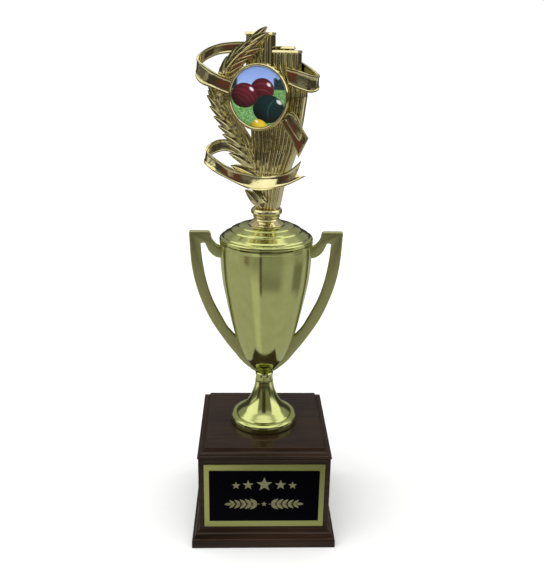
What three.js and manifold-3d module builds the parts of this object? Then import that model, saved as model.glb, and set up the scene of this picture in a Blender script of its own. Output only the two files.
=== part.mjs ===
// A cup trophy on a square wooden plinth, topped by a figure that holds a 2 inch round insert.
// Millimetres, +Z up, origin at the centre of the base's underside, front of the trophy towards -Y.
import * as THREE from "three";
import { mergeVertices } from "three/addons/utils/BufferGeometryUtils.js";
import Module from "manifold-3d";

const wasm = await Module();
wasm.setup();

// ---- Driving dimensions ----
const GAP = 0.3; // clearance between pieces that touch
const TURNS = 36; // flats round a turned piece

const PLINTH_HALF = 69.6; // wooden base
const BODY_HALF = 62.8;
const BEAD_HALF = 63.6;
const FIELD_HALF = 56.3;
const PLINTH_EDGE = 9.4;
const PLINTH_TOP = 19.5;
const BOARD_BOTTOM = 95.4;
const BASE_TOP = 104;
const WALL = 9;
const BLOCK_LEG = 14;

const PLATE_BACK = { width: 115, height: 69.5, thickness: 0.8 };
const PLATE_FRONT = { width: 105.3, height: 55.8, thickness: 0.8 };
const PLATE_MIDDLE = 55.5;

const ROD_R = 3.1; // quarter-inch threaded rod
const ROD_HOLE_R = 3.6;
const ROD_BOTTOM = 82;
const ROD_TOP = 316.5;
const NUT_FLATS = 11.1;
const NUT_THICK = 5.5;

const FOOT_TOP = 147.6; // cup and its foot
const CUP_BOTTOM = 157.6;
const CUP_RIM = 293;
const SHEET = 1.2;
const HANDLE_THICK = 6;
const HANDLE_TOP = 300.4;
const ARM_Z = 279;
const TAIL_Z = 186;

const FIGURE_TURN = -24; // degrees about Z: the figure's right side stands nearer the viewer
const FIGURE_BOTTOM = 307.6;
const COLLAR_TOP = 323;
const INSERT_R = 25.4;
const HOLDER = { x: -3.5, z: 421.7, back: -10.3, r: 27.3, depth: 5.8 };

// ---- Colours ----
const SHORTEST_EDGE = 0.05;
const paint = (color, roughness, metalness) => (
  new THREE.MeshStandardMaterial({ color, roughness, metalness })
);
const WOOD = paint(0x3a2420, 0.35, 0);
const BARE_WOOD = paint(0xb08d62, 0.8, 0);
const CUP_GOLD = paint(0xb9b76f, 0.3, 1);
const FIGURE_GOLD = paint(0xc2ad62, 0.15, 1);
const PLATE_GOLD = paint(0x9a9a4e, 0.4, 1);
const BLACK = paint(0x0a0a10, 0.3, 0.2);
const STEEL = paint(0xb8bcc0, 0.35, 1);
const PICTURE = paint(0x6f9a86, 0.4, 0);

// ---- Solids ----
function toSolid(geometry) {
  const bare = geometry.index ? geometry.toNonIndexed() : geometry.clone();
  const points = new THREE.BufferGeometry().setAttribute("position", bare.getAttribute("position"));
  const merged = mergeVertices(points, 1e-3);
  const data = { numProp: 3, vertProperties: merged.attributes.position.array };
  const made = new wasm.Manifold(new wasm.Mesh({ ...data, triVerts: new Uint32Array(merged.index.array) }));
  if (made.volume() >= 0) return made;
  const turned = new Uint32Array(merged.index.array).reverse();
  return new wasm.Manifold(new wasm.Mesh({ ...data, triVerts: turned }));
}

function toGeometry(solid) {
  const mesh = solid.getMesh();
  const points = new THREE.BufferAttribute(new Float32Array(mesh.vertProperties), 3);
  const flat = new THREE.BufferGeometry().setAttribute("position", points);
  return flat.setIndex(new THREE.BufferAttribute(new Uint32Array(mesh.triVerts), 1));
}

const cut = (solid, ...tools) => tools.reduce((left, tool) => left.subtract(tool), solid);
const join = (...solids) => solids.reduce((left, right) => left.add(right));

// A turned solid from [radius, z] points that start and end on the axis, or close on themselves.
function turned(profile, { segments = TURNS, closed = false } = {}) {
  const points = profile.map(([r, z]) => new THREE.Vector2(r, z));
  if (closed) points.push(points[0].clone());
  const lathe = new THREE.LatheGeometry(points, segments).rotateX(Math.PI / 2);
  return toSolid(lathe);
}

// A square solid with the same moulding on its four sides: a four-sided turning, rotated by 45 degrees.
function squareTurned(profile) {
  const points = profile.map(([half, z]) => new THREE.Vector2(half * Math.SQRT2, z));
  return toSolid(new THREE.LatheGeometry(points, 4).rotateX(Math.PI / 2).rotateZ(Math.PI / 4));
}

function cylinder(r, bottom, top, segments = 24) {
  const made = new THREE.CylinderGeometry(r, r, top - bottom, segments).rotateX(Math.PI / 2);
  return toSolid(made.translate(0, 0, (bottom + top) / 2));
}

function box([x0, y0, z0], [x1, y1, z1]) {
  const made = new THREE.BoxGeometry(x1 - x0, y1 - y0, z1 - z0);
  return toSolid(made.translate((x0 + x1) / 2, (y0 + y1) / 2, (z0 + z1) / 2));
}

// A flat outline of [x, z] points, drawn in the XZ plane and extruded from y = front to y = back.
function slab(outline, front, back) {
  const shape = new THREE.Shape(outline.map(([x, z]) => new THREE.Vector2(x, z)));
  const made = new THREE.ExtrudeGeometry(shape, { depth: back - front, bevelEnabled: false, steps: 1 });
  return toSolid(made.rotateX(Math.PI / 2).translate(0, back, 0));
}

// The points of an arc, for a bead or a cove in a profile.
function arc([cx, cz], r, from, to, steps = 4) {
  return Array.from({ length: steps + 1 }, (_, i) => {
    const a = THREE.MathUtils.degToRad(from + ((to - from) * i) / steps);
    return [cx + r * Math.cos(a), cz + r * Math.sin(a)];
  });
}

// The same profile moved along its normal, for the inside of sheet metal.
function offset(profile, by) {
  return profile.map((point, i) => {
    const [ax, az] = profile[Math.max(i - 1, 0)];
    const [bx, bz] = profile[Math.min(i + 1, profile.length - 1)];
    const length = Math.hypot(bx - ax, bz - az);
    return [point[0] - ((bz - az) / length) * by, point[1] + ((bx - ax) / length) * by];
  });
}

// A closed loft through rings of 3-D points, all with the same number of points.
function loft(rings) {
  const count = rings[0].length;
  const corners = [];
  const quad = (a, b, c, d) => corners.push(a, b, c, a, c, d);
  for (let i = 0; i + 1 < rings.length; i++)
    for (let j = 0; j < count; j++) {
      const k = (j + 1) % count;
      quad(rings[i][j], rings[i][k], rings[i + 1][k], rings[i + 1][j]);
    }
  const cap = (ring, flip) => {
    const middle = ring.reduce((sum, p) => sum.add(p), new THREE.Vector3()).divideScalar(count);
    for (let j = 0; j < count; j++) {
      const k = (j + 1) % count;
      corners.push(middle, ...(flip ? [ring[k], ring[j]] : [ring[j], ring[k]]));
    }
  };
  cap(rings[0], true);
  cap(rings[rings.length - 1], false);
  return toSolid(new THREE.BufferGeometry().setFromPoints(corners));
}

// A ribbon between an upper and a lower edge, each a smooth curve through [x, y, z] points.
function ribbon(upper, lower, thickness, steps) {
  const smooth = (points) => new THREE.CatmullRomCurve3(points.map((p) => new THREE.Vector3(...p)));
  const [top, bottom] = [smooth(upper), smooth(lower)];
  const rings = [];
  for (let i = 0; i <= steps; i++) {
    const t = i / steps;
    const [high, low] = [top.getPoint(t), bottom.getPoint(t)];
    const along = top.getTangent(t).add(bottom.getTangent(t)).normalize();
    const out = along.cross(high.clone().sub(low)).normalize().multiplyScalar(thickness / 2);
    rings.push([high.clone().add(out), high.clone().sub(out), low.clone().sub(out), low.clone().add(out)]);
  }
  return loft(rings);
}

const object = new THREE.Group();
const figure = new THREE.Group();
figure.rotation.z = THREE.MathUtils.degToRad(FIGURE_TURN);
object.add(figure);

function place(name, solid, material, group = object) {
  const mesh = new THREE.Mesh(toGeometry(solid), material);
  mesh.name = name;
  group.add(mesh);
  return mesh;
}

const SIDES = ["front", "right", "back", "left"];
const onSide = (mesh, i) => mesh.rotateZ((i * Math.PI) / 2);

// ---- Wooden base: mitred plinth moulding, four mitred walls, glue blocks and a moulded top board ----
// One mitred length of the moulding on the front side, from [half width, z] points.
function mitred(profile) {
  const shape = new THREE.Shape(profile.map(([half, z]) => new THREE.Vector2(half, z)));
  const made = new THREE.ExtrudeGeometry(shape, { depth: 1, bevelEnabled: false, steps: 1 });
  const spots = made.attributes.position;
  for (let i = 0; i < spots.count; i++) {
    const [half, z, end] = [spots.getX(i), spots.getY(i), spots.getZ(i)];
    spots.setXYZ(i, (end * 2 - 1) * (half - GAP / 2), -half, z);
  }
  return toSolid(made);
}

const PLINTH_PROFILE = [
  [48, 0],
  [PLINTH_HALF, 0],
  ...arc([PLINTH_HALF - 2, PLINTH_EDGE - 2], 2, 0, 90),
  ...arc([PLINTH_HALF - 0.4, PLINTH_TOP - 0.4], 6.6, 240, 180, 5),
  [BODY_HALF, PLINTH_TOP],
  [48, PLINTH_TOP],
];
const WALL_PROFILE = [
  [BODY_HALF - WALL, PLINTH_TOP + GAP],
  [BODY_HALF, PLINTH_TOP + GAP],
  [BODY_HALF, BOARD_BOTTOM - GAP],
  [BODY_HALF - WALL, BOARD_BOTTOM - GAP],
];
const BOARD_PROFILE = [
  [0, BOARD_BOTTOM],
  [BODY_HALF, BOARD_BOTTOM],
  ...arc([BEAD_HALF - 1.6, BOARD_BOTTOM + 1.8], 1.6, -70, 90, 5),
  [BODY_HALF - 1.6, BOARD_BOTTOM + 3.6],
  ...arc([BODY_HALF - 1.2, BASE_TOP + 0.1], 4.7, 262, 196, 4),
  [FIELD_HALF, BASE_TOP - 1],
  [FIELD_HALF, BASE_TOP],
  [0, BASE_TOP],
];

SIDES.forEach((side, i) => {
  onSide(place("plinth_" + side, mitred(PLINTH_PROFILE), WOOD), i);
  onSide(place("wall_" + side, mitred(WALL_PROFILE), WOOD), i);
});
const rodHole = cylinder(ROD_HOLE_R, 60, 330);
place("top_board", cut(squareTurned(BOARD_PROFILE), rodHole), WOOD);

function glueBlock() {
  const corner = -(BODY_HALF - WALL - GAP);
  const shape = new THREE.Shape([
    new THREE.Vector2(corner, corner),
    new THREE.Vector2(corner + BLOCK_LEG, corner),
    new THREE.Vector2(corner, corner + BLOCK_LEG),
  ]);
  const made = new THREE.ExtrudeGeometry(shape, { depth: 64, bevelEnabled: false });
  return toSolid(made.translate(0, 0, PLINTH_TOP + 5));
}
SIDES.forEach((side, i) => onSide(place("glue_block_" + (i + 1), glueBlock(), BARE_WOOD), i));

// ---- Plates on the front wall ----
function plate({ width, height, thickness }, back) {
  const [x, low] = [width / 2, PLATE_MIDDLE - height / 2];
  return box([-x, back - thickness, low], [x, back, low + height]);
}
const plateBackY = -BODY_HALF - GAP;
const plateFrontY = plateBackY - PLATE_BACK.thickness - GAP;
place("plate_backing", plate(PLATE_BACK, plateBackY), PLATE_GOLD);
place("engraved_plate", plate(PLATE_FRONT, plateFrontY), BLACK);

// ---- Threaded rod, nuts and washers that clamp the stack ----
function hexNut(bottom) {
  const r = NUT_FLATS / Math.sqrt(3);
  return cut(cylinder(r, bottom, bottom + NUT_THICK, 6), cylinder(ROD_R + GAP, 60, 330));
}
function washer(bottom, r = 9) {
  return cut(cylinder(r, bottom, bottom + 1.6), cylinder(ROD_R + GAP, 60, 330));
}
const cupFloor = CUP_BOTTOM + SHEET + GAP;
place("threaded_rod", cylinder(ROD_R, ROD_BOTTOM, ROD_TOP), STEEL);
place("base_washer", washer(BOARD_BOTTOM - 1.9), STEEL);
place("base_nut", hexNut(BOARD_BOTTOM - 2.2 - NUT_THICK), STEEL);
place("cup_washer", washer(cupFloor, 5.6), STEEL);
place("cup_nut", hexNut(cupFloor + 1.9), STEEL);
place("figure_nut", hexNut(309.4), STEEL);

// ---- Foot, stem collar, cup and lid, all spun from sheet ----
const FOOT_OUTER = [
  [32.6, BASE_TOP + GAP],
  [33.2, 105.6],
  [33.2, 109.4],
  [32.2, 111.6],
  [30.4, 112.8],
  [28.4, 113],
  [27.6, 112.6],
  [27, 113.8],
  [23.6, 116.6],
  [19.6, 120.6],
  [16.3, 125.2],
  [13.4, 130.6],
  [11, 136.6],
  [9.5, 142.4],
  [8.7, FOOT_TOP],
];
const footInner = offset(FOOT_OUTER, SHEET).slice(0, -1).reverse();
const FOOT_PROFILE = [
  ...FOOT_OUTER,
  [ROD_HOLE_R, FOOT_TOP],
  [ROD_HOLE_R, FOOT_TOP - 2],
  [7.4, FOOT_TOP - 2],
  ...footInner,
];
place("cup_foot", turned(FOOT_PROFILE, { closed: true }), CUP_GOLD);

const collarBottom = FOOT_TOP + GAP;
const collarTop = CUP_BOTTOM - GAP;
const COLLAR_PROFILE = [
  [ROD_HOLE_R, collarBottom],
  [8.2, collarBottom],
  [8.7, collarBottom + 1],
  [8.4, collarBottom + 4.5],
  [8.8, collarTop - 1.4],
  [8.2, collarTop],
  [ROD_HOLE_R, collarTop],
];
place("stem_collar", turned(COLLAR_PROFILE, { closed: true, segments: 28 }), CUP_GOLD);

const CUP_OUTER = [
  [ROD_HOLE_R, CUP_BOTTOM],
  [6.2, CUP_BOTTOM],
  [9.2, 160.4],
  [13.6, 165.8],
  [18.6, 173.4],
  [23.6, 184],
  [28, 195.4],
  [32.5, 211.9],
  [37, 232.6],
  [40.7, 252.9],
  [42.4, 272.7],
  [42.7, 287],
  [43.5, 289.2],
  [43.6, 291.6],
  [43, CUP_RIM],
];
const cupInner = offset(CUP_OUTER, SHEET).reverse();
cupInner[0] = [41.8, CUP_RIM];
cupInner[cupInner.length - 1] = [ROD_HOLE_R, CUP_BOTTOM + SHEET];
const cupWall = turned([...CUP_OUTER, ...cupInner], { closed: true });
const cupSpace = turned([[0, CUP_BOTTOM - 1], ...offset(CUP_OUTER, -GAP), [0, CUP_RIM + GAP]]);

const LID_OUTER = [
  [43.2, CUP_RIM + GAP],
  [43.8, 294.3],
  [43.2, 295.4],
  [40.6, 296.4],
  [40.2, 297.4],
  [38.6, 298.4],
  [32.6, 300.8],
  [32.2, 301.8],
  [30.6, 302.7],
  [25.6, 304.4],
  [25.2, 305.4],
  [23.6, 306.1],
  [17.6, 307.3],
  [ROD_HOLE_R, 307.3],
];
const lidInner = offset(LID_OUTER, SHEET).reverse();
lidInner[0] = [ROD_HOLE_R, 307.3 - SHEET];
lidInner[lidInner.length - 1] = [42, CUP_RIM + GAP];
place("lid", turned([...LID_OUTER, ...lidInner], { closed: true }), CUP_GOLD);

// ---- Handles: flat bars in the XZ plane, each held by two screws from inside the cup ----
function handleOutline() {
  const shape = new THREE.Shape();
  const spline = (...points) => shape.splineThru(points.map(([x, z]) => new THREE.Vector2(x, z)));
  shape.moveTo(6, 157.9);
  shape.lineTo(9.6, 157.9);
  spline(
    [13.6, 161], [22.3, 169.3], [29.1, 178], [38.7, 190.9], [51.9, 211.9], [61, 232.6],
    [67.1, 252.9], [70.2, 272.7], [71.6, HANDLE_TOP - 2],
  );
  shape.quadraticCurveTo(71.8, HANDLE_TOP, 69.8, HANDLE_TOP);
  shape.lineTo(52.4, HANDLE_TOP);
  spline([50.6, 293], [46.6, 287.6], [40, 285.2]);
  shape.lineTo(30, 285.2);
  shape.lineTo(30, 272.8);
  shape.lineTo(40, 272.8);
  spline([48, 276.2], [53.2, 281.4], [56, 288]);
  shape.quadraticCurveTo(56.8, 289.6, 58.6, 289.6);
  shape.lineTo(61.2, 289.6);
  spline(
    [59.9, 272.7], [56.6, 252.9], [50.5, 232.6], [40.3, 211.9], [35.6, 203.6], [29.8, 195],
    [16, 176],
  );
  shape.lineTo(6, 166);
  const points = shape.getPoints(4).map(({ x, y }) => [x, y]);
  const fromLast = (i) => Math.hypot(points[i][0] - points[i - 1][0], points[i][1] - points[i - 1][1]);
  return points.filter((_, i) => i === 0 || fromLast(i) > SHORTEST_EDGE);
}

// A pan-head screw along +X from the cup's inner face, tilted down by `tilt` degrees.
function screw(x, z, tilt, length, grow = 0) {
  const shank = new THREE.CylinderGeometry(1.5 + grow, 1.5 + grow, length + grow, 12).rotateZ(-Math.PI / 2);
  const head = new THREE.CylinderGeometry(2.6, 3.4, 2, 12).rotateZ(Math.PI / 2);
  const parts = [toSolid(shank.translate((length + grow) / 2 - 1, 0, 0))];
  if (!grow) parts.push(toSolid(head.translate(-1, 0, 0)));
  const turn = new THREE.Matrix4().makeRotationY(THREE.MathUtils.degToRad(tilt)).setPosition(x, 0, z);
  return join(...parts).transform(turn.elements);
}
const SCREWS = [
  { at: "upper", x: 40.7, z: ARM_Z, tilt: 0, length: 11 },
  { at: "lower", x: 22.6, z: TAIL_Z, tilt: 22, length: 9.5 },
];
const screwHoles = SCREWS.map(({ x, z, tilt, length }) => screw(x, z, tilt, length, GAP));
const half = new THREE.Matrix4().makeRotationZ(Math.PI).elements;
place("cup", cut(cupWall, ...screwHoles, ...screwHoles.map((hole) => hole.transform(half))), CUP_GOLD);
const handle = cut(slab(handleOutline(), -HANDLE_THICK / 2, HANDLE_THICK / 2), cupSpace, ...screwHoles);
["right", "left"].forEach((side, i) => {
  place("handle_" + side, handle, CUP_GOLD).rotateZ(i * Math.PI);
  for (const { at, x, z, tilt, length } of SCREWS)
    place(`handle_screw_${side}_${at}`, screw(x, z, tilt, length), STEEL).rotateZ(i * Math.PI);
});

// ---- Figure base: a turned skirt and collar with a pocket for the nut ----
const FIGURE_BASE = [
  [0, 318],
  [6.9, 318],
  [6.9, FIGURE_BOTTOM],
  [17.3, FIGURE_BOTTOM],
  [17.3, 308.4],
  [14.6, 310.4],
  [12, 312.6],
  [10.9, 314],
  [12.2, 314.6],
  [12.2, 316],
  [11.4, 316.7],
  [13.9, 317.6],
  [14.4, 319.2],
  [14.2, 321.6],
  [13.2, COLLAR_TOP],
  [0, COLLAR_TOP],
];
place("figure_base", turned(FIGURE_BASE), FIGURE_GOLD);

// ---- Figure body: a fluted bundle that widens upwards into four stepped blocks ----
const FLUTES = 9;
const BODY_LEVELS = [
  { z: COLLAR_TOP + GAP, left: -12, right: 14.6, front: -9, back: 9 },
  { z: 341, left: -14, right: 20, front: -10.6, back: 9 },
  { z: 356, left: -13, right: 25, front: -10.6, back: 7.5 },
  { z: 376, left: -13, right: 31, front: -9.8, back: 5 },
  { z: 403, left: -15, right: 36, front: -9.8, back: 2 },
  { z: 428, left: -18, right: 40, front: -9.8, back: 2 },
  { z: 441, left: -19, right: 40, front: -8.5, back: 2 },
  { z: 446, left: -19, right: 33, front: -7, back: 2 },
];
function flutedRing({ z, left, right, front, back }) {
  const ring = [];
  const ridges = FLUTES * 2;
  for (let i = 0; i <= ridges; i++) {
    const t = i / ridges;
    const curve = (1 - Math.cos(2 * Math.PI * t)) / 2;
    const depth = (i % 2 ? 1.4 : 0) + (1 - Math.min(1, curve * 4)) * 3.5;
    ring.push(new THREE.Vector3(THREE.MathUtils.lerp(left, right, t), front + depth, z));
  }
  ring.push(new THREE.Vector3(right - 1, back, z), new THREE.Vector3(left + 1, back, z));
  return ring;
}
const BLOCKS = [
  { low: [-20.4, -4.2, 438], high: [-10.4, 4, 474.8] },
  { low: [-3.4, -8, 438], high: [6, 2, 474.4] },
  { low: [7.2, -7, 438], high: [29.8, 1.2, 460.4] },
  { low: [3.4, 0.6, 438], high: [22.6, 3.4, 463.4] },
];

// ---- Laurel branch: a stem with pointed leaves in pairs ----
const STEM = [
  [-10.5, -7, 357.8],
  [-23.4, -7, 376.5],
  [-37.2, -7, 391.5],
  [-47, -7, 406.8],
  [-50.2, -7, 421.3],
  [-47.7, -7, 435.9],
  [-38.8, -7, 449.6],
  [-25.4, -7, 461.3],
  [-12.3, -7, 469.6],
];
const LEAF = { length: 19, width: 7, thick: 4.6 };
// A four-sided pointed leaf from `base` along `angle` in the XZ plane.
function leaf(base, angle, { length, width, thick }, grow = 0) {
  const made = new THREE.OctahedronGeometry(1).scale(length / 2 + grow, thick / 2 + grow, width / 2 + grow);
  return toSolid(made.translate(length / 2, 0, 0).rotateY(-angle).translate(base.x, base.y, base.z));
}
function laurel(grow = 0) {
  const curve = new THREE.CatmullRomCurve3(STEM.map((p) => new THREE.Vector3(...p)));
  const size = { ...LEAF };
  const parts = [];
  const pairs = 11;
  for (let i = 0; i < pairs; i++) {
    const t = (i + 0.2) / pairs;
    const [base, along] = [curve.getPoint(t), curve.getTangent(t)];
    const angle = Math.atan2(along.z, along.x);
    parts.push(leaf(base, angle + 0.5, size, grow), leaf(base, angle - 0.5, size, grow));
  }
  parts.push(leaf(curve.getPoint(0.96), 0.85, { ...LEAF, length: 19 }, grow));
  const round = new THREE.Shape().absarc(0, 0, 1.2 + grow, 0, Math.PI * 2);
  const tube = new THREE.ExtrudeGeometry(round, { extrudePath: curve, steps: 24, curveSegments: 3 });
  return join(toSolid(tube), ...parts);
}

// ---- Ribbons ----
const RIBBON = 1.4;
const leftRibbon = (thickness) => ribbon(
  [
    [-12, 5.5, 466.5], [-41, 5.5, 465], [-53, 4, 463], [-62, 0, 459], [-65.5, -5, 455],
    [-64.5, -10, 453.5], [-59.5, -13, 451], [-45.5, -13.5, 442], [-24, -13, 434],
  ],
  [
    [-12, 5.5, 455], [-41, 5.5, 452.5], [-51, 4, 450], [-60.5, 0, 445.5], [-65.5, -5, 440],
    [-66, -10, 436.5], [-62, -13, 434.5], [-48, -13.5, 427], [-26, -13, 421],
  ],
  thickness, 34);
const rightRibbon = (thickness) => ribbon(
  [
    [15, -12.5, 445], [27.5, -12.5, 444], [35.5, -12.5, 441.5], [45, -11.5, 440],
    [49.5, -8.5, 439.5], [50, -3, 440.5], [41.5, 3.5, 445], [27, 4.5, 452],
  ],
  [
    [15, -12.5, 434], [28, -12.5, 431], [36, -12.5, 429], [44.5, -11.5, 427.5],
    [49, -8.5, 428.5], [49.5, -3, 429.5], [41, 3.5, 434], [27, 4.5, 441],
  ],
  thickness, 26);
const lowerRibbon = (thickness) => ribbon(
  [
    [-12, 9.5, 377], [-30, 8.5, 380.5], [-43, 6, 382], [-52, 2, 381], [-56.5, -3, 378.5], [-55, -8.5, 375.5],
    [-42.5, -12, 366.5], [-22, -12, 358.5], [3, -12, 354], [25, -12, 360], [37.5, -12, 371],
  ],
  [
    [-12, 9.5, 364], [-30, 8.5, 367.5], [-42, 6, 369.5], [-50.5, 2, 368.5], [-57.5, -3, 365],
    [-60, -8.5, 361], [-47.5, -12, 354], [-27.5, -12, 345.5], [1, -12, 340], [25, -12, 348], [43.5, -12, 358],
  ],
  thickness, 44);
const NOTCH = [[34.2, 361], [38.6, 373], [46, 357.6]];
const FOLD = [
  [15, 401.5], [23, 392.5], [29, 384], [34, 372.5], [38, 381],
  [42, 389], [39.5, 395], [37, 399], [36, 404], [24, 406.5],
];

// ---- Insert holder, facing the front ----
// A turned solid whose axis runs along -Y through the middle of the insert, from [radius, depth] points.
function facing(profile) {
  const points = profile.map(([r, depth]) => new THREE.Vector2(r, depth));
  const made = new THREE.LatheGeometry(points, 40).rotateX(Math.PI);
  return toSolid(made.translate(HOLDER.x, HOLDER.back, HOLDER.z));
}
const holderSpace = facing([[0, -0.2], [HOLDER.r + GAP, -0.2], [HOLDER.r + GAP, 9], [0, 9]]);
const holder = facing([
  [0, 0],
  [HOLDER.r - 1, 0],
  [HOLDER.r, 1],
  [HOLDER.r, HOLDER.depth - 0.8],
  [HOLDER.r - 0.7, HOLDER.depth],
  [INSERT_R + GAP, HOLDER.depth - 0.4],
  [INSERT_R + GAP, 3.5],
  [0, 3.5],
]);
const insert = facing([[0, 3.5 + GAP], [INSERT_R, 3.5 + GAP], [INSERT_R, 4.6], [0, 4.6]]);

const blocks = BLOCKS.map(({ low, high }) => box(low, high));
const NECK_LEAF = { length: 22, width: 9, thick: 5 };
const neckLeaf = (grow) => leaf(new THREE.Vector3(-1.5, -9.6, 324.6), 2.41, NECK_LEAF, grow);
const bundle = join(loft(BODY_LEVELS.map(flutedRing)), ...blocks);
const ROOMY = RIBBON + 2 * GAP;
const cleared = cut(bundle, laurel(GAP), neckLeaf(GAP), lowerRibbon(ROOMY), rightRibbon(ROOMY));
place("figure_body", cleared, FIGURE_GOLD, figure);
place("laurel_branch", laurel(), FIGURE_GOLD, figure);
place("neck_leaf", cut(neckLeaf(0), cylinder(20, 300, COLLAR_TOP + GAP)), FIGURE_GOLD, figure);
place("ribbon_upper_left", cut(leftRibbon(RIBBON), holderSpace), FIGURE_GOLD, figure);
place("ribbon_upper_right", cut(rightRibbon(RIBBON), holderSpace), FIGURE_GOLD, figure);
place("ribbon_lower", cut(lowerRibbon(RIBBON), slab(NOTCH, -20, -6)), FIGURE_GOLD, figure);
place("ribbon_fold", cut(slab(FOLD, -12.4, -10.2), holderSpace), FIGURE_GOLD, figure);
place("insert_holder", holder, FIGURE_GOLD, figure);
place("insert_picture", insert, PICTURE, figure);

export default object;
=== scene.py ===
"""Looks of a cup trophy: dark wooden base, pale gold two-handled cup, bright gold figure with an insert."""

import math

import bmesh
import bpy
import numpy as np
from mathutils import Matrix, Vector


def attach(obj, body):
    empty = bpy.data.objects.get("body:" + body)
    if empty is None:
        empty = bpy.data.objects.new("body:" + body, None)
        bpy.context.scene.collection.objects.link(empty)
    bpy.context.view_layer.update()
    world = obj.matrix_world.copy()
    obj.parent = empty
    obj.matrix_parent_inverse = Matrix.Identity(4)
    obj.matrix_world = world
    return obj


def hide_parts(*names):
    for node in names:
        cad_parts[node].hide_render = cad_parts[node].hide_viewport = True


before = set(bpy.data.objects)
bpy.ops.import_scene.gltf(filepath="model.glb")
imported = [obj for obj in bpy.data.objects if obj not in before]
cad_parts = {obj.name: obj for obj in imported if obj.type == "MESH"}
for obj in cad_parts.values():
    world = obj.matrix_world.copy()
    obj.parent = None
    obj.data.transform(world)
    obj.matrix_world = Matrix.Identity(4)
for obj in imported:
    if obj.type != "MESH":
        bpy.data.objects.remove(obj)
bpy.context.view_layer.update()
MM = 0.001  # lengths below are in millimetres, as in the design

# ---- Driving dimensions ----
PLINTH_HALF, BODY_HALF, BEAD_HALF, FIELD_HALF = 69.6, 62.8, 63.6, 56.3
PLINTH_EDGE, PLINTH_TOP, BOARD_BOTTOM, BASE_TOP = 9.4, 19.5, 95.2, 104.0
WALL = 9.0
SHEET = 1.2
FOOT_TOP, CUP_BOTTOM, CUP_RIM, LID_TOP = 147.6, 157.5, 293.0, 307.4
COLLAR_TOP = 323.0
HANDLE_THICK, HANDLE_TOP = 6.0, 300.4
FIGURE_TURN = math.radians(-24)
INSERT_R = 25.4
HOLDER = {"x": -3.5, "z": 421.7, "back": -10.3, "r": 28.3, "depth": 5.8}


# ---------------------------------------------------------------- materials
class Nodes:
    """Short helpers for making and linking shader nodes."""

    def __init__(self, tree):
        self.tree = tree

    def node(self, kind, **settings):
        made = self.tree.nodes.new(kind)
        for key, value in settings.items():
            setattr(made, key, value)
        return made

    def put(self, socket, value):
        """A link if value is a socket, and otherwise a constant."""
        if isinstance(value, bpy.types.NodeSocket):
            self.tree.links.new(value, socket)
        else:
            socket.default_value = value

    def math(self, operation, a, b=0.0, clamp=False):
        made = self.node("ShaderNodeMath", operation=operation, use_clamp=clamp)
        self.put(made.inputs[0], a)
        self.put(made.inputs[1], b)
        return made.outputs[0]

    def add(self, a, b):
        return self.math("ADD", a, b)

    def times(self, a, b):
        return self.math("MULTIPLY", a, b)

    def mix(self, factor, a, b, blend="MIX"):
        made = self.node("ShaderNodeMix", data_type="RGBA", blend_type=blend)
        self.put(made.inputs["Factor"], factor)
        self.put(made.inputs[6], (*a, 1) if isinstance(a, tuple) else a)
        self.put(made.inputs[7], (*b, 1) if isinstance(b, tuple) else b)
        return made.outputs[2]

    def ramp(self, value, stops):
        made = self.node("ShaderNodeValToRGB")
        elements = made.color_ramp.elements
        while len(elements) < len(stops):
            elements.new(0.5)
        for element, (position, color) in zip(elements, stops):
            element.position = position
            element.color = (*color, 1.0)
        self.put(made.inputs[0], value)
        return made.outputs[0]

    def levels(self, value, low, high):
        """0 at low, 1 at high, and smooth between them."""
        made = self.node("ShaderNodeMapRange", interpolation_type="SMOOTHSTEP", clamp=True)
        self.put(made.inputs["Value"], value)
        self.put(made.inputs["From Min"], low)
        self.put(made.inputs["From Max"], high)
        return made.outputs[0]

    def band(self, value, low, high, soft):
        """1 between low and high, 0 outside, with soft borders."""
        rise = self.levels(value, low - soft, low + soft)
        return self.times(rise, self.levels(value, high + soft, high - soft))

    def split(self, vector):
        made = self.node("ShaderNodeSeparateXYZ")
        self.put(made.inputs[0], vector)
        return made.outputs


class Shader(Nodes):
    """A material with one Principled node; every constant goes straight on its sockets."""

    def __init__(self, name, **constants):
        self.material = bpy.data.materials.new(name)
        self.material.use_nodes = True
        super().__init__(self.material.node_tree)
        self.bsdf = self.tree.nodes["Principled BSDF"]
        for socket, value in constants.items():
            self.bsdf.inputs[socket.replace("_", " ")].default_value = value

    def place(self, scale=(1, 1, 1), rotation=(0, 0, 0), location=(0, 0, 0), kind="POINT"):
        source = self.node("ShaderNodeTexCoord")
        made = self.node("ShaderNodeMapping", vector_type=kind)
        made.inputs["Scale"].default_value = scale
        made.inputs["Rotation"].default_value = rotation
        made.inputs["Location"].default_value = location
        self.put(made.inputs["Vector"], source.outputs["Object"])
        return made.outputs[0]

    def noise(self, vector, scale=1.0, detail=4.0, roughness=0.55, distortion=0.0):
        made = self.node("ShaderNodeTexNoise")
        self.put(made.inputs["Vector"], vector)
        made.inputs["Scale"].default_value = scale
        made.inputs["Detail"].default_value = detail
        made.inputs["Roughness"].default_value = roughness
        made.inputs["Distortion"].default_value = distortion
        return made.outputs[0]

    def bump(self, height, distance, strength=1.0, below=None):
        made = self.node("ShaderNodeBump")
        made.inputs["Distance"].default_value = distance
        made.inputs["Strength"].default_value = strength
        self.put(made.inputs["Height"], height)
        if below is not None:
            self.put(made.inputs["Normal"], below)
        return made.outputs[0]

    def wire(self, **sockets):
        for socket, value in sockets.items():
            self.put(self.bsdf.inputs[socket.replace("_", " ")], value)
        return self.material


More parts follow.
